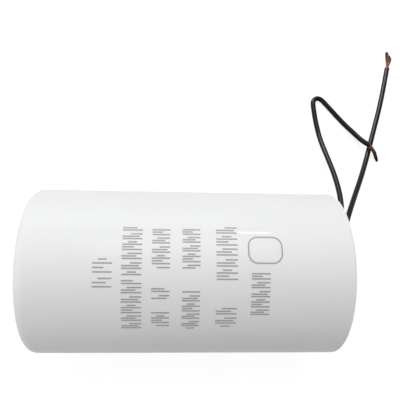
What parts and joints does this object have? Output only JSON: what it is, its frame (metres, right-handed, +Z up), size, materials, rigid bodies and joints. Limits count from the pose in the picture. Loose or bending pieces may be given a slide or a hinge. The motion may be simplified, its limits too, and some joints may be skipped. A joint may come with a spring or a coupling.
{
  "type": "motor run capacitor",
  "caption": "Cylindrical motor run capacitor in a white moulded cup filled with resin, with short black stranded leads at its open mouth and bare copper ends.",
  "frame": {"origin": "on the surface the can lies on, under the middle of the can's length", "axes": "+X along the can from its closed end to its mouth, +Y towards the side the leads lie on, +Z up"},
  "size_m": [0.1028, 0.0935, 0.038],
  "materials": {
    "moulded_white": "satin moulded white plastic",
    "cast_resin": "cast polyurethane resin, slightly glossy",
    "film": "metallised polypropylene film, seen through its own turns",
    "core_plastic": "extruded polypropylene tube",
    "wrap_film": "clear polypropylene film, several turns",
    "sprayed_zinc": "arc-sprayed zinc, rough and dull",
    "solder": "tin solder, bright",
    "black_insulation": "extruded flexible vinyl, satin",
    "copper_strands": "bare copper strands, browned at the tips"
  },
  "bodies": {
    "root": {"case": "moulded_white", "potting_resin": "cast_resin", "film_winding": "film", "winding_core": "core_plastic", "outer_wrap": "wrap_film", "top_end_spray": "sprayed_zinc", "bottom_end_spray": "sprayed_zinc", "top_solder_joint": "solder", "bottom_solder_joint": "solder", "lead_1_inner_insulation": "black_insulation", "lead_2_inner_insulation": "black_insulation", "lead_1_inner_conductor": "copper_strands", "lead_2_inner_conductor": "copper_strands", "lead_1": "black_insulation", "lead_2": "black_insulation", "lead_1_bare_end": "copper_strands", "lead_2_bare_end": "copper_strands"}
  },
  "joints": []
}
